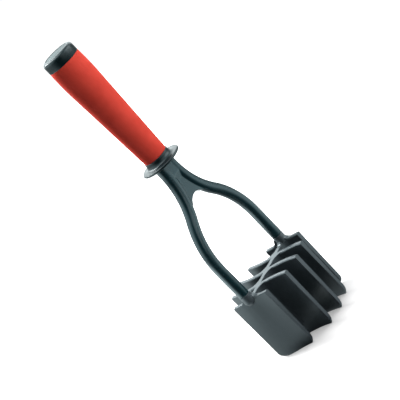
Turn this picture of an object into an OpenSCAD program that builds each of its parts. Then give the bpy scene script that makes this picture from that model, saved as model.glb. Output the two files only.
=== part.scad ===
// Hand masher for ground meat: a wishbone fork carries five S-shaped blades,
// and a soft tapered grip ends in a glossy cap.
// Millimetres. The floor is z = 0 under the blades, +Z runs up the handle,
// and the fork spreads in the YZ plane. No piece moves.

/* [Blades] */
// Height of every blade
blade_height = 54; // [40:1:70]
// Distance from one blade to the next
blade_spacing = 14.8; // [11:0.1:20]
// Blade thickness along the top edge
blade_top_thickness = 3.8; // [2:0.1:5]
// Blade thickness just above the bevel
blade_foot_thickness = 2.8; // [1.5:0.1:4]
// Width of the flat land that stands on the pan
land_width = 1.2; // [0.6:0.1:2]
// Height of the bevel above the land
bevel_height = 3; // [1:0.5:6]
// Small chamfer along the top edges
top_chamfer = 0.8; // [0.2:0.1:1]
// Half length of the middle blade
middle_half_length = 29.4; // [20:0.2:40]
// Half length of the two blades beside the middle one
second_half_length = 26.4; // [16:0.2:38]
// Half length of the two outer blades
outer_half_length = 14.8; // [8:0.2:30]
// Bend radius of each half of the S
wave_radius = 58.7; // [40:0.1:120]
// Angle at which a blade crosses the web
wave_angle = 22; // [5:1:35]
// How far a lower corner of a blade is cut back
corner_run = 2.8; // [1:0.1:6]
// Height of that corner
corner_rise = 7.2; // [2:0.2:14]
// How far the outermost corner of each outer blade is rounded off
heel_run = 5.5; // [2:0.5:10]

/* [Web] */
// Thickness of the web that ties the blades together
web_thickness = 3.8; // [2.5:0.1:6]
// Clear height below the web
web_clearance = 10; // [0:1:30]
// Fillet in the wide corner of each crossing
crossing_fillet = 8; // [3:0.5:12]

/* [Fork] */
// Radius of the round arms
arm_radius = 4.3; // [3:0.1:6]
// Distance from the axis to the straight part of each arm
arm_offset = 30.7; // [22:0.1:40]
// Length of the straight part of an arm above its foot boss
leg_length = 25; // [10:1:50]
// Radius of the outward shoulder bend
shoulder_radius = 60; // [40:0.1:90]
// Radius of the inward neck bend
neck_bend_radius = 59.3; // [40:0.1:90]
// Steepest lean of an arm, where one bend runs into the other
arm_lean = 38; // [15:1:45]
// Length of the upright neck between the bends and the collar
neck_length = 6.35; // [3:0.05:20]
// Radius of the arch in the crotch
arch_radius = 10.3; // [6:0.1:12]
// Distance from the top of the bends down to the top of the arch
arch_drop = 25.5; // [20:0.5:32]
// Thickness of the web at the arch
crotch_thickness = 4.8; // [3:0.1:8]
// How far the flat faces of the neck lie below the rounds of the arms
neck_step = 0.5; // [0.2:0.1:2]
// Distance below the top of the bends over which the web stays flush with the neck
flush_length = 5.5; // [2:0.5:15]
// Length of the slope from there into the recess between the arms
recess_slope = 5; // [1:0.5:12]

/* [Feet] */
// Height of a foot boss above the blades
boss_height = 6; // [4:0.5:16]
// Height of its tapered root below the top of the blades
root_height = 3; // [2:0.5:10]
// Radius of the spigot under each arm
spigot_radius = 2.6; // [1.5:0.1:3.5]
// Length of that spigot
spigot_length = 5; // [3:0.5:8]
// Fillet between a foot boss and the top edges that carry it
foot_fillet = 5; // [2:0.5:8]
// How far the gussets that carry those fillets lie inside the blade and web faces
gusset_inset = 0.2; // [0.1:0.1:0.5]

/* [Guard collar] */
// Length of the collar from its underside to the grip
collar_length = 6.6; // [5.5:0.1:12]
// Radius of the disc
disc_radius = 16.2; // [12:0.1:22]
// Thickness of the disc
disc_thickness = 2; // [1.2:0.1:4]
// Fillet from the disc up to the boss
collar_fillet = 3; // [1:0.1:6]
// Depth of the seat that keys the fork neck
neck_seat_depth = 1; // [0.5:0.1:1.6]

/* [Grip] */
// Length of the grip
grip_length = 90.6; // [75:0.2:120]
// Largest grip radius
grip_radius = 12.9; // [11:0.1:18]
// Distance from the rear end of the grip to its thickest point
bulge_setback = 12; // [2:1:25]
// Radius of the bulge along the grip
bulge_radius = 245; // [150:5:500]
// Side slope of the straight taper
taper_slope = 0.047; // [0.02:0.001:0.1]
// Thickness of the soft sleeve
sleeve_thickness = 2; // [1:0.1:3]

/* [Core and screw] */
// Radius of the tang inside the handle
tang_radius = 5; // [4:0.1:6]
// Length of the tang above the underside of the collar
tang_length = 48.7; // [30:0.1:65]
// Thickness of the floor in the core that the screw pulls on
floor_thickness = 3; // [2:0.5:5]
// Wall of the core at its open rear end
core_wall = 2.4; // [1.5:0.1:3.5]
// Radius of the screw shank
screw_radius = 1.9; // [1.2:0.1:2.5]
// Length of the screw under its head
screw_length = 16; // [8:1:20]
// Radius of the screw head
screw_head_radius = 3.6; // [2.5:0.1:5]
// Height of the screw head
screw_head_height = 2.4; // [1.5:0.1:4]
// Thickness of the washer
washer_thickness = 1; // [0.5:0.1:2]
// How far the washer reaches past the screw head
washer_rim = 1; // [0.5:0.1:2]

/* [End cap] */
// Height of the cap above the grip
cap_height = 8; // [5:0.5:16]
// Rounding of the cap lip
lip_radius = 2; // [1:0.1:3]
// Radius of the inlaid disc
inlay_radius = 9.3; // [6:0.1:11]
// Thickness of the inlaid disc
inlay_thickness = 0.9; // [0.5:0.1:2]
// How far the inlaid disc lies below the lip
inlay_recess = 0.5; // [0:0.1:1.5]
// Length of the plug that enters the core
plug_length = 12; // [6:1:20]
// Wall of the plug
plug_wall = 1.6; // [1:0.1:3]

/* [Clearances] */
// Radial gap round spigots, the tang and the plug
fit_gap = 0.1; // [0.05:0.05:0.3]
// Gap at the blind end of a socket
end_gap = 0.4; // [0.2:0.1:1]

/* [Hidden] */
$fn = 96;

// How far a cut reaches past the face it opens.
over = 1;
outer_row = 2 * blade_spacing;
inner_half_lengths = [second_half_length, middle_half_length, second_half_length];
plain_corner = [corner_run, corner_rise, 1.8 * norm([corner_run, corner_rise])];
heel_corner = [heel_run, heel_run, 1.2 * heel_run];

// Heights, from the floor up: the fork, the collar, the grip, the cap.
foot_joint_height = blade_height + boss_height;
bend_start_height = foot_joint_height + leg_length;
bend_meet = [arm_offset - shoulder_radius * (1 - cos(arm_lean)),
             bend_start_height + shoulder_radius * sin(arm_lean)];
neck_centre = bend_meet + neck_bend_radius * [cos(arm_lean), sin(arm_lean)];
neck_offset = neck_centre[0] - neck_bend_radius;
arch_top_height = neck_centre[1] - arch_drop;
collar_height = neck_centre[1] + neck_length;
neck_seat_height = collar_height + neck_seat_depth;
grip_front_height = collar_height + collar_length;
grip_rear_height = grip_front_height + grip_length;
grip_bulge_height = grip_rear_height - bulge_setback;
tang_top_height = collar_height + tang_length;
floor_height = tang_top_height + end_gap;
floor_top = floor_height + floor_thickness;
washer_top = floor_top + washer_thickness;
total_height = grip_rear_height + cap_height;
inlay_seat = total_height - inlay_recess - inlay_thickness;

// Radii that one piece takes from another.
core_bore = tang_radius + fit_gap;
boss_radius = grip_outline(grip_front_height);
cap_side_radius = grip_outline(grip_rear_height);
cap_bore = sleeve_inner(grip_rear_height) - core_wall;
plug_radius = cap_bore - fit_gap;

// Outside radius of the soft grip: a long bulge that runs on as a straight taper.
function taper_start() = grip_bulge_height - bulge_radius * taper_slope;
function bulge_at(height) = grip_radius - pow(height - grip_bulge_height, 2) / (2 * bulge_radius);
function grip_outline(height) =
    height > taper_start() ? bulge_at(height)
    : bulge_at(taper_start()) - taper_slope * (taper_start() - height);
function sleeve_inner(height) = grip_outline(height) - sleeve_thickness;

// ---- Blade head -----------------------------------------------------------

// Section across a blade: drafted sides, a bevelled foot and broken top edges.
module blade_section() {
    top = blade_top_thickness / 2;
    foot = blade_foot_thickness / 2;
    polygon([
        [-land_width / 2, 0], [land_width / 2, 0], [foot, bevel_height],
        [top, blade_height - top_chamfer], [top - top_chamfer, blade_height],
        [top_chamfer - top, blade_height], [-top, blade_height - top_chamfer],
        [-foot, bevel_height]
    ]);
}

// Half of the S: a section swept round one bend, from the web outwards.
module half_wave() {
    mirror([1, 0, 0])
        translate([0, -wave_radius, 0])
            rotate([0, 0, 90])
                rotate_extrude(angle = 2 * wave_angle)
                    translate([wave_radius, 0])
                        children();
}

// What a lower corner loses: everything outside an arc from the foot up to the end.
module corner_cut(end, run, rise, radius) {
    chord = norm([run, rise]);
    centre = [end - run / 2, rise / 2] + sqrt(radius * radius - chord * chord / 4) * [-rise, run] / chord;
    difference() {
        translate([centre[0], -over])
            square([end + over - centre[0], centre[1] + over]);
        translate(centre)
            circle(r = radius);
    }
}

// Half a blade, trimmed to its length; its lower corner is given as [run, rise, radius].
module half_blade(half_length, corner) {
    intersection() {
        rotate([0, 0, wave_angle]) half_wave() blade_section();
        rotate([90, 0, 0])
            linear_extrude(height = wave_radius, center = true)
                difference() {
                    translate([-half_length, -over])
                        square([2 * half_length, blade_height + 2 * over]);
                    corner_cut(half_length, corner[0], corner[1], corner[2]);
                }
    }
}

module blade(half_length, right_corner = plain_corner) {
    half_blade(half_length, right_corner);
    rotate([0, 0, 180]) half_blade(half_length, plain_corner);
}

// An outer blade: its corner that lies furthest from the axis is fully rounded.
module outer_blade() {
    translate([0, outer_row, 0])
        blade(outer_half_length, heel_corner);
}

// Fillet in the wide corner between the web and the underside of a blade.
module crossing_corner() {
    side = web_thickness / 2;
    meet = side * tan(wave_angle) - blade_top_thickness / 2 / cos(wave_angle);
    reach = crossing_fillet * tan(45 - wave_angle / 2);
    far = [side, meet] + reach * [cos(wave_angle), sin(wave_angle)];
    difference() {
        polygon([[0, 0], [0, meet - reach], [side, meet - reach],
                 [side + crossing_fillet, meet - reach], far]);
        translate([side + crossing_fillet, meet - reach])
            circle(r = crossing_fillet);
    }
}

// The tie between two outer blades, with its fillets at every crossing.
module blade_web() {
    translate([0, 0, web_clearance])
        linear_extrude(height = blade_height - web_clearance) {
            translate([-web_thickness / 2, -outer_row])
                square([web_thickness, 2 * outer_row]);
            for (row = [-1 : 2])
                translate([0, row * blade_spacing]) crossing_corner();
            for (row = [-2 : 1])
                translate([0, row * blade_spacing]) rotate(180) crossing_corner();
        }
}

// Boss that takes an arm: a round stub on a tapered root, with gussets along the blade and the web.
module foot_boss() {
    root_bottom = blade_height - root_height;
    translate([0, arm_offset, 0])
        rotate_extrude()
            polygon([[0, root_bottom], [blade_foot_thickness, root_bottom],
                     [arm_radius, blade_height - top_chamfer / 2],
                     [arm_radius, foot_joint_height], [0, foot_joint_height]]);
    translate([0, outer_row, 0])
        for (end = [0, 180])
            rotate([0, 0, end])
                blade_gusset();
    translate([0, arm_offset, 0])
        rotate([90, 0, -90])
            linear_extrude(height = web_thickness - 2 * gusset_inset, center = true)
                gusset_outline();
}

// One gusset along the top edge of a blade, bent as the blade is.
module blade_gusset() {
    half_width = blade_top_thickness / 2 - gusset_inset;
    intersection() {
        rotate([0, 0, wave_angle])
            half_wave()
                translate([-half_width, 0])
                    square([2 * half_width, foot_joint_height]);
        rotate([90, 0, 0])
            linear_extrude(height = wave_radius, center = true)
                gusset_outline();
    }
}

// Side view of a gusset: a concave fillet from the top edge up to the boss.
module gusset_outline() {
    reach = arm_radius + foot_fillet - top_chamfer;
    difference() {
        translate([0, blade_height - over])
            square([reach - over / 2, foot_fillet + over - top_chamfer]);
        translate([reach, blade_height - top_chamfer / 4 + foot_fillet])
            circle(r = foot_fillet);
    }
}

module foot_socket() {
    translate([0, arm_offset, foot_joint_height - spigot_length - end_gap])
        cylinder(h = spigot_length + end_gap + over, r = spigot_radius + fit_gap);
}

module blade_head() {
    color("#2b3034")
    difference() {
        union() {
            for (row = [-1 : 1])
                translate([0, row * blade_spacing, 0])
                    blade(inner_half_lengths[row + 1]);
            outer_blade();
            rotate([0, 0, 180]) outer_blade();
            blade_web();
            foot_boss();
            rotate([0, 0, 180]) foot_boss();
        }
        foot_socket();
        rotate([0, 0, 180]) foot_socket();
    }
}

// ---- Fork -----------------------------------------------------------------

// Turns a drawing in XY so that it stands in the YZ plane.
module upright() {
    rotate([90, 0, 90]) children();
}

// Translate in a coarse and a fine step, so that bars that run on from each other meet exactly.
module place(at) {
    coarse = [for (value = at) round(value * 100) / 100];
    translate(coarse) translate(at - coarse) children();
}

// Round bar along an arc that starts at angle 0 round its centre.
module arm_bend(radius) {
    rotate_extrude(angle = arm_lean)
        translate([radius, 0])
            circle(r = arm_radius);
}

module fork_arm() {
    // spigot and straight leg
    translate([0, arm_offset, foot_joint_height - spigot_length])
        cylinder(h = spigot_length + over, r = spigot_radius);
    translate([0, arm_offset, foot_joint_height])
        cylinder(h = bend_start_height - foot_joint_height, r = arm_radius);
    // shoulder bend, then the neck bend that swings back to upright
    place([0, arm_offset - shoulder_radius, bend_start_height])
        upright() arm_bend(shoulder_radius);
    place([0, neck_centre[0], neck_centre[1]])
        upright() rotate([0, 0, 180]) arm_bend(neck_bend_radius);
    // upright part of the neck, up into its seat in the collar
    place([0, neck_offset, neck_centre[1]])
        cylinder(h = neck_seat_height - neck_centre[1], r = arm_radius);
}

// Everything between the centre lines of the two arms, from the arch up.
module crotch_outline() {
    arch_centre = arch_top_height - arch_radius;
    arch_end = arch_centre + arch_radius * sin(arm_lean);
    difference() {
        translate([-neck_bend_radius / 2, arch_end])
            square([neck_bend_radius, neck_seat_height - arch_end]);
        translate([0, arch_centre])
            circle(r = arch_radius);
        for (side = [-1, 1]) {
            translate([side * neck_centre[0], neck_centre[1]])
                circle(r = neck_bend_radius);
            translate([side * (neck_offset + neck_bend_radius / 2), neck_centre[1] + neck_bend_radius / 2])
                square(neck_bend_radius, center = true);
        }
    }
}

// Side view of the web: it thins from the full neck down to the arch.
module crotch_taper() {
    thin = crotch_thickness / 2;
    thick = arm_radius - neck_step;
    thick_from = neck_centre[1] - flush_length;
    polygon([[-thin, 0], [thin, 0], [thin, thick_from - recess_slope], [thick, thick_from],
             [thick, neck_seat_height], [-thick, neck_seat_height],
             [-thick, thick_from], [-thin, thick_from - recess_slope]]);
}

module fork() {
    color("#1d3038")
    difference() {
        union() {
            fork_arm();
            mirror([0, 1, 0]) fork_arm();
            intersection() {
                translate([-arm_radius, 0, 0])
                    upright() linear_extrude(height = 2 * arm_radius) crotch_outline();
                translate([0, neck_bend_radius / 2, 0])
                    rotate([90, 0, 0]) linear_extrude(height = neck_bend_radius) crotch_taper();
            }
            // tang up the middle of the handle
            translate([0, 0, neck_seat_height - over])
                cylinder(h = tang_top_height - neck_seat_height + over, r = tang_radius);
        }
        // pilot hole for the screw
        translate([0, 0, washer_top - screw_length - end_gap])
            cylinder(h = screw_length, r = screw_radius + fit_gap / 2);
    }
}

// ---- Handle ---------------------------------------------------------------

// Seat for the neck: the same rounded bar, a fit gap larger all round.
module neck_seat() {
    width = arm_radius + fit_gap;
    for (side = [-1, 1])
        translate([0, side * neck_offset, collar_height - over])
            cylinder(h = neck_seat_depth + over, r = width);
    translate([-width, -neck_offset, collar_height - over])
        cube([2 * width, 2 * neck_offset, neck_seat_depth + over]);
}

module guard_collar() {
    disc_top = collar_height + disc_thickness;
    rim = disc_thickness / 2;
    color("#12181b")
    difference() {
        rotate_extrude()
            difference() {
                union() {
                    translate([core_bore, collar_height])
                        square([disc_radius - rim - core_bore, disc_thickness]);
                    translate([disc_radius - rim, collar_height + rim])
                        circle(r = rim);
                    translate([core_bore, collar_height])
                        square([boss_radius + collar_fillet - core_bore, disc_thickness + collar_fillet]);
                    translate([core_bore, collar_height])
                        square([boss_radius - core_bore, grip_front_height - collar_height]);
                }
                translate([boss_radius + collar_fillet, disc_top + collar_fillet])
                    circle(r = collar_fillet);
            }
        neck_seat();
    }
}

module handle_core() {
    color("#5a5f63")
    rotate_extrude()
        difference() {
            polygon([[0, grip_front_height], [sleeve_inner(grip_front_height), grip_front_height],
                     [sleeve_inner(taper_start()), taper_start()],
                     [sleeve_inner(grip_rear_height), grip_rear_height], [0, grip_rear_height]]);
            // front bore for the tang
            translate([0, grip_front_height - over])
                square([core_bore, floor_height - grip_front_height + over]);
            // hole for the screw
            square([screw_radius + 3 * fit_gap, grip_rear_height]);
            // rear bore, straight where the plug of the cap enters
            polygon([[0, floor_top], [screw_head_radius + 2 * washer_rim, floor_top],
                     [cap_bore, grip_rear_height - plug_length - over],
                     [cap_bore, grip_rear_height + over], [0, grip_rear_height + over]]);
        }
}

module grip_sleeve() {
    color("#c8443d")
    rotate_extrude()
        difference() {
            union() {
                intersection() {
                    translate([grip_radius - bulge_radius, grip_bulge_height])
                        circle(r = bulge_radius, $fn = 2880);
                    translate([0, taper_start()])
                        square([grip_radius, grip_rear_height - taper_start()]);
                }
                polygon([[0, grip_front_height], [boss_radius, grip_front_height],
                         [grip_outline(taper_start()), taper_start()], [0, taper_start()]]);
            }
            polygon([[0, grip_front_height], [sleeve_inner(grip_front_height), grip_front_height],
                     [sleeve_inner(taper_start()), taper_start()],
                     [sleeve_inner(grip_rear_height), grip_rear_height], [0, grip_rear_height]]);
        }
}

module end_cap() {
    lip_centre = [cap_side_radius - lip_radius, total_height - lip_radius];
    color("#12181b")
    rotate_extrude()
        difference() {
            union() {
                translate([0, grip_rear_height])
                    square([cap_side_radius, lip_centre[1] - grip_rear_height]);
                translate([0, grip_rear_height])
                    square([lip_centre[0], total_height - grip_rear_height]);
                translate(lip_centre)
                    circle(r = lip_radius);
                translate([0, grip_rear_height - plug_length])
                    square([plug_radius, plug_length]);
            }
            // hollow inside the plug
            translate([0, grip_rear_height - plug_length - over])
                square([plug_radius - plug_wall, plug_length + plug_wall + over]);
            // seat of the inlaid disc
            translate([0, inlay_seat])
                square([inlay_radius + fit_gap, total_height]);
        }
}

module cap_disc() {
    color("#b9c0c2")
    translate([0, 0, inlay_seat])
        cylinder(h = inlay_thickness, r = inlay_radius);
}

module tang_screw() {
    slot_width = 1;
    slot_depth = screw_head_height / 2;
    color("#a9adb0")
    difference() {
        union() {
            translate([0, 0, washer_top - screw_length])
                cylinder(h = screw_length, r = screw_radius);
            translate([0, 0, washer_top])
                cylinder(h = screw_head_height, r1 = screw_head_radius,
                         r2 = screw_head_radius - slot_width / 2);
        }
        // crossed drive slots
        for (turn = [0, 90])
            translate([0, 0, washer_top + screw_head_height])
                rotate([0, 0, turn])
                    cube([screw_head_radius, slot_width, 2 * slot_depth], center = true);
    }
}

module screw_washer() {
    color("#c3c7c9")
    translate([0, 0, floor_top])
        difference() {
            cylinder(h = washer_thickness, r = screw_head_radius + washer_rim);
            translate([0, 0, -over])
                cylinder(h = washer_thickness + 2 * over, r = screw_radius + fit_gap);
        }
}

blade_head();
fork();
guard_collar();
handle_core();
grip_sleeve();
end_cap();
cap_disc();
tang_screw();
screw_washer();
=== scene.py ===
import math

import bpy
from mathutils import Matrix, Vector


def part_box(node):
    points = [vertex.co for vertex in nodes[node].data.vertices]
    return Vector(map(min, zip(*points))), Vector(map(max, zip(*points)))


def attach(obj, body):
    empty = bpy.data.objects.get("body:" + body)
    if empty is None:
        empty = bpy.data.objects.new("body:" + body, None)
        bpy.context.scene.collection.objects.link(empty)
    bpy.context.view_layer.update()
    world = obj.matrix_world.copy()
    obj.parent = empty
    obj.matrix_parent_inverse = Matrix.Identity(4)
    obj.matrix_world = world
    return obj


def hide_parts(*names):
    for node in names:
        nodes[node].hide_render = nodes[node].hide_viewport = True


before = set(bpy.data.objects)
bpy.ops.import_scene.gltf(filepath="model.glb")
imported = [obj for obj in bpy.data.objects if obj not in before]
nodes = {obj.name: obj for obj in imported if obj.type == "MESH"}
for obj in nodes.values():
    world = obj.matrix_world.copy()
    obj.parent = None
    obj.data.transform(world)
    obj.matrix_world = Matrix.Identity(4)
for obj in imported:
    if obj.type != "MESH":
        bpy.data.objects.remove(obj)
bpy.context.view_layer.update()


# ---- Blade head ------------------------------------------------------------
# One moulding: five S-shaped blades on a web, with a boss and gussets for each arm.
# It is dark grey glass-filled nylon with a satin face. The mould is polished by hand,
# which leaves a small round along every sharp edge.

blade_edge = 0.00022
same_point = 0.000001


def merged_copy(node, name):
    """A closed copy of a CAD node's mesh, as a new piece that is alone in the selection."""
    bpy.ops.object.select_all(action="DESELECT")
    piece = bpy.data.objects.new(name, nodes[node].data.copy())
    bpy.context.scene.collection.objects.link(piece)
    bpy.context.view_layer.objects.active = piece
    piece.select_set(True)
    bpy.ops.object.mode_set(mode="EDIT")
    bpy.ops.mesh.select_all(action="SELECT")
    bpy.ops.mesh.remove_doubles(threshold=same_point)
    bpy.ops.object.mode_set(mode="OBJECT")
    return piece


def break_edges(piece, width):
    """Gives every sharp edge a small round. Before it, steps too short to carry the round are
    merged, and flat triangles joined into faces. After it, what it pinched shut is cleared."""
    sharp_angle = math.radians(40)
    flat_angle = math.radians(0.5)
    bpy.ops.object.mode_set(mode="EDIT")
    bpy.ops.mesh.select_all(action="SELECT")
    bpy.ops.mesh.remove_doubles(threshold=1.25 * width)
    bpy.ops.mesh.dissolve_limited(angle_limit=flat_angle)
    bpy.ops.object.mode_set(mode="OBJECT")
    round_off = piece.modifiers.new("round_off", "BEVEL")
    round_off.width = width
    round_off.segments = 2
    round_off.limit_method = "ANGLE"
    round_off.angle_limit = sharp_angle
    round_off.use_clamp_overlap = False
    bpy.ops.object.modifier_apply(modifier="round_off")
    bpy.ops.object.mode_set(mode="EDIT")
    bpy.ops.mesh.select_all(action="SELECT")
    bpy.ops.mesh.remove_doubles(threshold=same_point)
    bpy.ops.mesh.dissolve_degenerate(threshold=same_point)
    bpy.ops.mesh.delete_loose()
    bpy.ops.object.mode_set(mode="OBJECT")
    bpy.ops.object.shade_smooth_by_angle(angle=sharp_angle)
    level = piece.modifiers.new("level", "WEIGHTED_NORMAL")
    level.keep_sharp = True
    bpy.ops.object.modifier_apply(modifier="level")


def finish_piece(piece, material, slot, *replaced):
    """Gives a piece its material, and puts it on the model in place of CAD nodes."""
    piece.data.materials.clear()
    piece.data.materials.append(material)
    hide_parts(*replaced)
    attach(piece, "root")


def new_material(name):
    """An empty node material: its tree, its shader, and the coordinates that patterns read."""
    material = bpy.data.materials.new(name)
    material.use_nodes = True
    tree = material.node_tree
    tree.nodes.clear()
    output = tree.nodes.new("ShaderNodeOutputMaterial")
    shader = tree.nodes.new("ShaderNodeBsdfPrincipled")
    coordinates = tree.nodes.new("ShaderNodeTexCoord")
    tree.links.new(shader.outputs["BSDF"], output.inputs["Surface"])
    return material, tree, shader, coordinates.outputs["Object"]


def noise(tree, where, size, detail=2.0):
    """A noise whose patches are about size metres across."""
    pattern = tree.nodes.new("ShaderNodeTexNoise")
    pattern.inputs["Scale"].default_value = 1 / size
    pattern.inputs["Detail"].default_value = detail
    tree.links.new(where, pattern.inputs["Vector"])
    return pattern.outputs["Fac"]


def tint(tree, value, low, high):
    """A colour between low and high, as value goes over the middle of a noise's range."""
    ramp = tree.nodes.new("ShaderNodeValToRGB")
    ramp.color_ramp.elements[0].position = 0.35
    ramp.color_ramp.elements[1].position = 0.65
    ramp.color_ramp.elements[0].color = (*low, 1)
    ramp.color_ramp.elements[1].color = (*high, 1)
    tree.links.new(value, ramp.inputs["Fac"])
    return ramp.outputs["Color"]


def spread(tree, value, low, high, start=0.3, end=0.7, easing="LINEAR"):
    """A number from low to high, as value goes from start to end, or over the middle of a
    noise's range where neither is given."""
    scale = tree.nodes.new("ShaderNodeMapRange")
    scale.interpolation_type = easing
    scale.inputs["From Min"].default_value = start
    scale.inputs["From Max"].default_value = end
    scale.inputs["To Min"].default_value = low
    scale.inputs["To Max"].default_value = high
    tree.links.new(value, scale.inputs["Value"])
    return scale.outputs["Result"]


def relief(tree, shader, value, height):
    """Raises the surface by up to height metres where value is high."""
    bump = tree.nodes.new("ShaderNodeBump")
    bump.inputs["Strength"].default_value = 1.0
    bump.inputs["Distance"].default_value = height
    tree.links.new(value, bump.inputs["Height"])
    tree.links.new(bump.outputs["Normal"], shader.inputs["Normal"])


def moulded(name, colours, roughness, grain, height, sockets):
    """A moulded finish: its colour and roughness drift between two values, over a fine even
    grain that is height metres deep. What is the same all over goes on the shader's sockets."""
    material, tree, shader, where = new_material(name)
    colour_drift = noise(tree, where, 0.018)
    wear = noise(tree, where, 0.006)
    tree.links.new(tint(tree, colour_drift, *colours), shader.inputs["Base Color"])
    tree.links.new(spread(tree, wear, *roughness), shader.inputs["Roughness"])
    relief(tree, shader, noise(tree, where, grain), height)
    for socket, value in sockets.items():
        shader.inputs[socket].default_value = value
    return material


blades = merged_copy("blade_head", "blades")
break_edges(blades, blade_edge)
blade_nylon = moulded(
    "blade_nylon",
    colours=((0.034, 0.044, 0.050), (0.042, 0.053, 0.061)),
    roughness=(0.32, 0.40),
    grain=0.0006,
    height=0.000012,
    sockets={"Specular Tint": (0.84, 0.97, 1.0, 1)},
)
finish_piece(blades, blade_nylon, "blade_nylon", "blade_head")


# ---- Fork ------------------------------------------------------------------
# The wishbone that carries the blades: two round arms that run together in a flat neck.
# It is one moulding in dark teal nylon, polished to a half gloss.

fork_voxel = 0.0004
polish_rounds = 3


def skin(piece, voxel):
    """Fuses the piece into one closed skin of small, even faces."""
    remesh = piece.modifiers.new("skin", "REMESH")
    remesh.mode = "VOXEL"
    remesh.voxel_size = voxel
    bpy.ops.object.modifier_apply(modifier="skin")
    bpy.ops.object.shade_smooth()


def ease(piece, rounds):
    """Eases edges and corners, as polishing a mould does."""
    polish = piece.modifiers.new("ease", "SMOOTH")
    polish.factor = 0.5
    polish.iterations = rounds
    bpy.ops.object.modifier_apply(modifier="ease")


arms = merged_copy("fork", "arms")
skin(arms, fork_voxel)
ease(arms, polish_rounds)
fork_nylon = moulded(
    "fork_nylon",
    colours=((0.0026, 0.017, 0.0215), (0.0032, 0.021, 0.0265)),
    roughness=(0.22, 0.28),
    grain=0.0009,
    height=0.000008,
    sockets={"Specular Tint": (0.78, 0.96, 1.0, 1)},
)
finish_piece(arms, fork_nylon, "fork_nylon", "fork")


# ---- Guard collar ----------------------------------------------------------
# A finger guard turned up from a thin disc: it flares into the boss that meets the grip.
# It is moulded in near-black plastic with a half gloss, and keyed on the neck of the fork.

collar_foot, collar_top = (corner.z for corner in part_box("guard_collar"))
disc_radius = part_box("guard_collar")[1].x
disc_thickness = 0.002
collar_bore = 0.0051
flare = 0.003
boss_radius = 0.00998
edge = 0.0003
edge_steps = 3
rim_steps = 8
turning_sides = 160
crisp_angle = math.radians(35)


def arc(centre, radius, start, end, steps):
    """Points (radius, height) along an arc about centre, with its angles in degrees."""
    turns = [math.radians(start + (end - start) * step / steps) for step in range(steps + 1)]
    return [(centre[0] + radius * math.cos(turn), centre[1] + radius * math.sin(turn)) for turn in turns]


def turned(name, outline, solid=False):
    """A piece turned round the handle's axis: a ring is drawn out along its outline, which closes
    on itself for a tube, while a solid piece gets a flat face over the ring at each end."""
    bpy.ops.object.select_all(action="DESELECT")
    radius, height = outline[0]
    bpy.ops.mesh.primitive_circle_add(vertices=turning_sides, radius=radius, location=(0, 0, height))
    piece = bpy.context.object
    piece.name = name
    bpy.ops.object.mode_set(mode="EDIT")
    bpy.ops.mesh.select_all(action="SELECT")
    for next_radius, next_height in outline[1:] + ([] if solid else outline[:1]):
        bpy.ops.mesh.extrude_region_move(TRANSFORM_OT_translate={"value": (0, 0, next_height - height)})
        bpy.ops.transform.resize(value=(next_radius / radius, next_radius / radius, 1),
                                 center_override=(0, 0, next_height))
        radius, height = next_radius, next_height
    bpy.ops.mesh.select_all(action="SELECT")
    bpy.ops.mesh.remove_doubles(threshold=same_point)
    if solid:
        bpy.ops.mesh.select_all(action="DESELECT")
        bpy.ops.mesh.select_non_manifold()
        bpy.ops.mesh.fill_holes(sides=0)
        bpy.ops.mesh.select_all(action="SELECT")
    bpy.ops.mesh.normals_make_consistent(inside=False)
    bpy.ops.object.mode_set(mode="OBJECT")
    bpy.ops.object.transform_apply(location=True, rotation=True, scale=True)
    bpy.ops.object.shade_smooth_by_angle(angle=crisp_angle)
    return piece


rim = disc_thickness / 2
disc_top = collar_foot + disc_thickness
collar = turned(
    "collar",
    [(collar_bore, collar_foot)]
    + arc((disc_radius - rim, collar_foot + rim), rim, -90, 90, rim_steps)
    + arc((boss_radius + flare, disc_top + flare), flare, 270, 180, rim_steps)
    + arc((boss_radius - edge, collar_top - edge), edge, 0, 90, edge_steps)
    + [(collar_bore, collar_top)],
)
gloss_trim = moulded(
    "gloss_trim",
    colours=((0.0028, 0.0085, 0.0100), (0.0036, 0.0110, 0.0130)),
    roughness=(0.27, 0.33),
    grain=0.0012,
    height=0.0000015,
    sockets={"Specular Tint": (0.80, 0.96, 1.0, 1), "Specular IOR Level": 0.3},
)
finish_piece(collar, gloss_trim, "gloss_trim", "guard_collar")


# ---- Soft grip -------------------------------------------------------------
# A sleeve of soft-touch red rubber, moulded over the core: bulged under the palm, then tapered.
# Its ends are rolled over a little where they meet the collar and the cap.

grip_front, grip_rear = (corner.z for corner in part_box("grip_sleeve"))
palm_radius = 0.0129
palm_height = grip_rear - 0.012
bulge_radius = 0.245
taper_slope = 0.047
bulge_length = bulge_radius * taper_slope
sleeve_thickness = 0.002
roll = 0.0004
roll_steps = 3
grip_steps = 40


def grip_radius(height):
    """Outside radius of the grip: a long bulge that runs on as a straight taper."""
    below = palm_height - height
    on_bulge = min(below, bulge_length)
    on_taper = max(below - bulge_length, 0)
    return palm_radius - on_bulge**2 / (2 * bulge_radius) - on_taper * taper_slope


outside = [
    grip_front + roll + (grip_rear - grip_front - 2 * roll) * step / grip_steps
    for step in range(grip_steps + 1)
]
inside = [grip_rear, palm_height, palm_height - bulge_length, grip_front]
front_radius = grip_radius(grip_front)
rear_radius = grip_radius(grip_rear)
grip = turned(
    "grip",
    arc((front_radius - roll, grip_front + roll), roll, -90, -20, roll_steps)
    + [(grip_radius(height), height) for height in outside]
    + arc((rear_radius - roll, grip_rear - roll), roll, 20, 90, roll_steps)
    + [(grip_radius(height) - sleeve_thickness, height) for height in inside],
)

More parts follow.
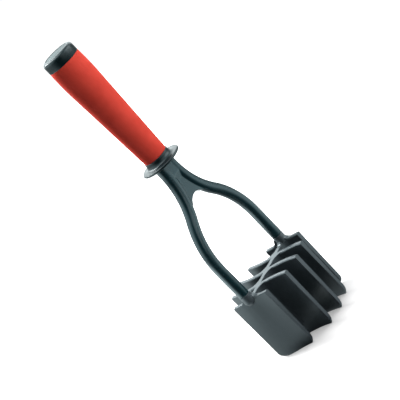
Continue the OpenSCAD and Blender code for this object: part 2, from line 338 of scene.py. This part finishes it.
pimple_height = 0.000012
soft_grip, tree, shader, where = new_material("soft_grip")
colour_drift = noise(tree, where, 0.012)
wear = noise(tree, where, 0.004)
pimples = noise(tree, where, 0.0005, detail=1.0)
red = tint(tree, colour_drift, (0.60, 0.052, 0.034), (0.66, 0.062, 0.041))
tree.links.new(red, shader.inputs["Base Color"])
tree.links.new(spread(tree, wear, 0.66, 0.78), shader.inputs["Roughness"])
relief(tree, shader, pimples, pimple_height)
shader.inputs["Specular IOR Level"].default_value = 0.08
finish_piece(grip, soft_grip, "soft_grip", "grip_sleeve")


# ---- Core, screw and washer ------------------------------------------------
# Inside the grip: a stiff grey tube, and the steel screw and washer that pull the fork's tang
# against its floor. The cap hides them, so the CAD pieces stay as they are.

core_plastic = moulded(
    "core_plastic",
    colours=((0.09, 0.10, 0.11), (0.11, 0.12, 0.13)),
    roughness=(0.4, 0.5),
    grain=0.0006,
    height=0.00001,
    sockets={},
)
screw_steel = moulded(
    "screw_steel",
    colours=((0.5, 0.5, 0.5), (0.6, 0.6, 0.6)),
    roughness=(0.28, 0.36),
    grain=0.0006,
    height=0.000004,
    sockets={"Metallic": 1.0},
)
hidden_pieces = {"handle_core": core_plastic, "tang_screw": screw_steel, "screw_washer": screw_steel}
for name, material in hidden_pieces.items():
    nodes[name].data.materials.clear()
    nodes[name].data.materials.append(material)


# ---- End cap ---------------------------------------------------------------
# A gloss black plug pressed into the rear of the core, with a rounded lip round a shallow seat.
# It is moulded in the same plastic as the collar.

plug_front, cap_rear = (corner.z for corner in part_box("end_cap"))
plug_radius = 0.0076
plug_wall = 0.0016
cap_radius = rear_radius
lip = 0.0026
lip_steps = 10
seat_radius = 0.0094
seat_edge = 0.0004
seat_edge_steps = 4
inlay_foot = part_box("cap_disc")[0].z

cap = turned(
    "cap",
    [(plug_radius - plug_wall, grip_rear + plug_wall), (plug_radius - plug_wall, plug_front),
     (plug_radius, plug_front), (plug_radius, grip_rear)]
    + arc((cap_radius - edge, grip_rear + edge), edge, -90, 0, edge_steps)
    + arc((cap_radius - lip, cap_rear - lip), lip, 0, 80, lip_steps)
    + arc((seat_radius + seat_edge, cap_rear - seat_edge), seat_edge, 90, 180, seat_edge_steps)
    + [(seat_radius, inlay_foot)],
    solid=True,
)
finish_piece(cap, gloss_trim, "gloss_trim", "end_cap")


# ---- Cap inlay -------------------------------------------------------------
# A bare disc glued into the seat of the cap. It is grey plastic, with a mottled, slightly
# domed face and a small round along its edge.

inlay_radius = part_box("cap_disc")[1].x
crown = 0.0003
inlay_rim = cap_rear - crown
dome_shares = (0.9, 0.75, 0.6, 0.45, 0.3, 0.15)

inlay = turned(
    "inlay",
    [(inlay_radius, inlay_foot)]
    + arc((inlay_radius - edge, inlay_rim - edge), edge, 0, 90, edge_steps)
    + [(inlay_radius * share, inlay_rim + crown * (1 - share**2)) for share in dome_shares],
    solid=True,
)
cap_inlay = moulded(
    "cap_inlay",
    colours=((0.06, 0.08, 0.083), (0.10, 0.135, 0.138)),
    roughness=(0.5, 0.62),
    grain=0.0009,
    height=0.000003,
    sockets={"Specular IOR Level": 0.12},
)
finish_piece(inlay, cap_inlay, "cap_inlay", "cap_disc")


# ---- Studio ----------------------------------------------------------------
# White paper under the tool, a white room, seven softboxes, and a camera at the front right.
# In reflections the paper and the room glow at the sides, and are dark at the camera's end.

azimuth = math.radians(49.716)
elevation = math.radians(17.138)
tilt = math.radians(-44.234)
distance = 0.9
lens = 115.69
aim_aside = 0.000834
aim_height = 0.12607
across = Vector((math.cos(azimuth), math.sin(azimuth), 0))
towards = Vector((math.sin(azimuth), -math.cos(azimuth), 0))
up = Vector((0, 0, 1))
middle = aim_aside * across + aim_height * up

camera = bpy.data.objects.new("camera", bpy.data.cameras.new("camera"))
bpy.context.scene.collection.objects.link(camera)
camera.data.sensor_width = 36
camera.data.lens = lens
camera.location = middle + distance * (math.cos(elevation) * towards + math.sin(elevation) * up)
turn = Matrix.Rotation(azimuth, 3, "Z") @ Matrix.Rotation(math.pi / 2 - elevation, 3, "X")
camera.rotation_euler = (turn @ Matrix.Rotation(tilt, 3, "Z")).to_euler()
bpy.context.scene.camera = camera

dark_end = Matrix.Rotation(math.radians(-4), 3, "Z") @ towards
cool_white = (0.88, 0.98, 1.0, 1)
paper_radius = 8.0
paper_bounce = 0.2
paper_white = 0.5
glow_in_view = 1.0
glow_at_tool = 0.27
pool_centre = (-0.05, -0.06, 0)
pool_glow = 1.35


def shares(tree, value, stops):
    """A share that follows value through stops, each a place and the share there."""
    ramp = tree.nodes.new("ShaderNodeValToRGB")
    elements = ramp.color_ramp.elements
    elements[0].position = stops[0][0]
    elements[1].position = stops[-1][0]
    for place, _ in stops[1:-1]:
        elements.new(place)
    for element, (_, share) in zip(elements, stops):
        element.color = (share, share, share, 1)
    tree.links.new(value, ramp.inputs["Fac"])
    return ramp.outputs["Color"]


def joined(tree, operation, first, second):
    """Two numbers joined into one, by the operation of a Math node."""
    step = tree.nodes.new("ShaderNodeMath")
    step.operation = operation
    tree.links.new(first, step.inputs[0])
    tree.links.new(second, step.inputs[1])
    return step.outputs["Value"]


def measured(tree, operation, vector, other=(0, 0, 0), result="Value"):
    """What a Vector Math node makes of a vector and a fixed one."""
    step = tree.nodes.new("ShaderNodeVectorMath")
    step.operation = operation
    step.inputs[1].default_value = other
    tree.links.new(vector, step.inputs[0])
    return step.outputs[result]


def glow_around(tree, direction, left, right):
    """The glow of the studio in reflections: bright at the sides, dark at the camera's end."""
    sideways = measured(tree, "DOT_PRODUCT", direction, across)
    to_dark_end = measured(tree, "DOT_PRODUCT", direction, dark_end)
    side = spread(tree, sideways, left, right, start=-1, end=1)
    round_the_room = spread(tree, to_dark_end, 0, 1, start=-1, end=1)
    lit = shares(tree, round_the_room, ((0.2, 0.5), (0.45, 1.0), (0.67, 1.0), (0.91, 0.02)))
    return joined(tree, "MULTIPLY", side, lit)


bpy.ops.object.select_all(action="DESELECT")
bpy.ops.mesh.primitive_circle_add(vertices=96, radius=paper_radius, fill_type="NGON")
floor = bpy.context.object
floor.name = "floor"

paper = bpy.data.materials.new("white_paper")
paper.use_nodes = True
tree = paper.node_tree
tree.nodes.clear()
rays = tree.nodes.new("ShaderNodeLightPath")
coordinates = tree.nodes.new("ShaderNodeTexCoord")
where = coordinates.outputs["Object"]
from_tool = measured(tree, "LENGTH", where)

# In view the paper glows as painted light: weakly near the tool, so its shadow shows close to the
# blades, and fully farther out, where the glow paints the shadow out.
matte = tree.nodes.new("ShaderNodeBsdfDiffuse")
paper_shade = spread(tree, rays.outputs["Is Camera Ray"], paper_bounce, paper_white, start=0, end=1)
tree.links.new(paper_shade, matte.inputs["Color"])
glow = tree.nodes.new("ShaderNodeEmission")
glow_by_distance = spread(tree, from_tool, glow_at_tool, glow_in_view, start=0.025, end=0.075)
only_in_view = joined(tree, "MULTIPLY", glow_by_distance, rays.outputs["Is Camera Ray"])
tree.links.new(only_in_view, glow.inputs["Strength"])
plain_paper = tree.nodes.new("ShaderNodeAddShader")
tree.links.new(matte.outputs["BSDF"], plain_paper.inputs[0])
tree.links.new(glow.outputs["Emission"], plain_paper.inputs[1])

# The paper in reflections glows as the room does, with one bright pool before the front blade.
mirrored = tree.nodes.new("ShaderNodeEmission")
mirrored.inputs["Color"].default_value = cool_white
from_pool = measured(tree, "DISTANCE", where, pool_centre)
pool = spread(tree, from_pool, pool_glow, 0, start=0.08, end=0.13, easing="SMOOTHSTEP")
row = tree.nodes.new("ShaderNodeSeparateXYZ")
tree.links.new(where, row.inputs[0])
before_the_blades = spread(tree, row.outputs["Y"], 1, 0, start=-0.047, end=-0.037)
front_pool = joined(tree, "MULTIPLY", pool, before_the_blades)
heading = measured(tree, "NORMALIZE", where, result="Vector")
stretch = shares(tree, from_tool, ((0.10, 0.32), (0.25, 1.0), (0.45, 1.0), (0.8, 0.2)))
surround = joined(tree, "MULTIPLY", glow_around(tree, heading, left=5.0, right=2.3), stretch)
tree.links.new(joined(tree, "MAXIMUM", front_pool, surround), mirrored.inputs["Strength"])

choice = tree.nodes.new("ShaderNodeMixShader")
tree.links.new(rays.outputs["Is Glossy Ray"], choice.inputs["Fac"])
tree.links.new(plain_paper.outputs["Shader"], choice.inputs[1])
tree.links.new(mirrored.outputs["Emission"], choice.inputs[2])
output = tree.nodes.new("ShaderNodeOutputMaterial")
tree.links.new(choice.outputs["Shader"], output.inputs["Surface"])
floor.data.materials.append(paper)


def softbox(name, place, width, length, power, colour=(1, 1, 1), reflected=True):
    """An area lamp aimed at the middle of the tool. Its place is how far it stands to the
    right, in front and above."""
    lamp = bpy.data.objects.new(name, bpy.data.lights.new(name, "AREA"))
    bpy.context.scene.collection.objects.link(lamp)
    lamp.data.shape = "RECTANGLE"
    lamp.data.size = width
    lamp.data.size_y = length
    lamp.data.energy = power
    lamp.data.color = colour
    lamp.visible_glossy = reflected
    sideways, forwards, height = place
    lamp.location = middle + across * sideways + towards * forwards + up * height
    lamp.rotation_euler = (middle - lamp.location).to_track_quat("-Z", "Y").to_euler()


softbox("key_light", (1.33, 0.14, 0.45), width=1.3, length=1.3, power=20)
softbox("fill_light", (0.84, 1.0, 0.3), width=1.4, length=1.1, power=8)
softbox("rim_light", (-0.75, -0.75, 0.1), width=0.5, length=0.7, power=12, reflected=False)
softbox("back_light", (0.1, -1.1, 0.55), width=1.6, length=1.3, power=13, colour=(0.92, 0.99, 1.0))
softbox("top_light", (0.0, 0.1, 1.0), width=0.5, length=0.5, power=4)
softbox("left_light", (-0.64, -0.75, 0.8), width=0.25, length=0.5, power=10)
softbox("streak_light", (-0.32, -0.38, 0.9), width=0.2, length=0.45, power=8)

world = bpy.data.worlds.new("studio")
bpy.context.scene.world = world
world.use_nodes = True
tree = world.node_tree
tree.nodes.clear()
rays = tree.nodes.new("ShaderNodeLightPath")
coordinates = tree.nodes.new("ShaderNodeTexCoord")
ambient = tree.nodes.new("ShaderNodeBackground")
ambient.inputs["Color"].default_value = (0.06, 0.06, 0.06, 1)
mirrored = tree.nodes.new("ShaderNodeBackground")
mirrored.inputs["Color"].default_value = cool_white
room_glow = glow_around(tree, coordinates.outputs["Generated"], left=3.0, right=1.1)
tree.links.new(room_glow, mirrored.inputs["Strength"])
white = tree.nodes.new("ShaderNodeBackground")
white.inputs["Color"].default_value = (1, 1, 1, 1)
in_gloss = tree.nodes.new("ShaderNodeMixShader")
tree.links.new(rays.outputs["Is Glossy Ray"], in_gloss.inputs["Fac"])
tree.links.new(ambient.outputs["Background"], in_gloss.inputs[1])
tree.links.new(mirrored.outputs["Background"], in_gloss.inputs[2])
in_view = tree.nodes.new("ShaderNodeMixShader")
tree.links.new(rays.outputs["Is Camera Ray"], in_view.inputs["Fac"])
tree.links.new(in_gloss.outputs["Shader"], in_view.inputs[1])
tree.links.new(white.outputs["Background"], in_view.inputs[2])
output = tree.nodes.new("ShaderNodeOutputWorld")
tree.links.new(in_view.outputs["Shader"], output.inputs["Surface"])

bpy.context.scene.view_settings.view_transform = "Standard"
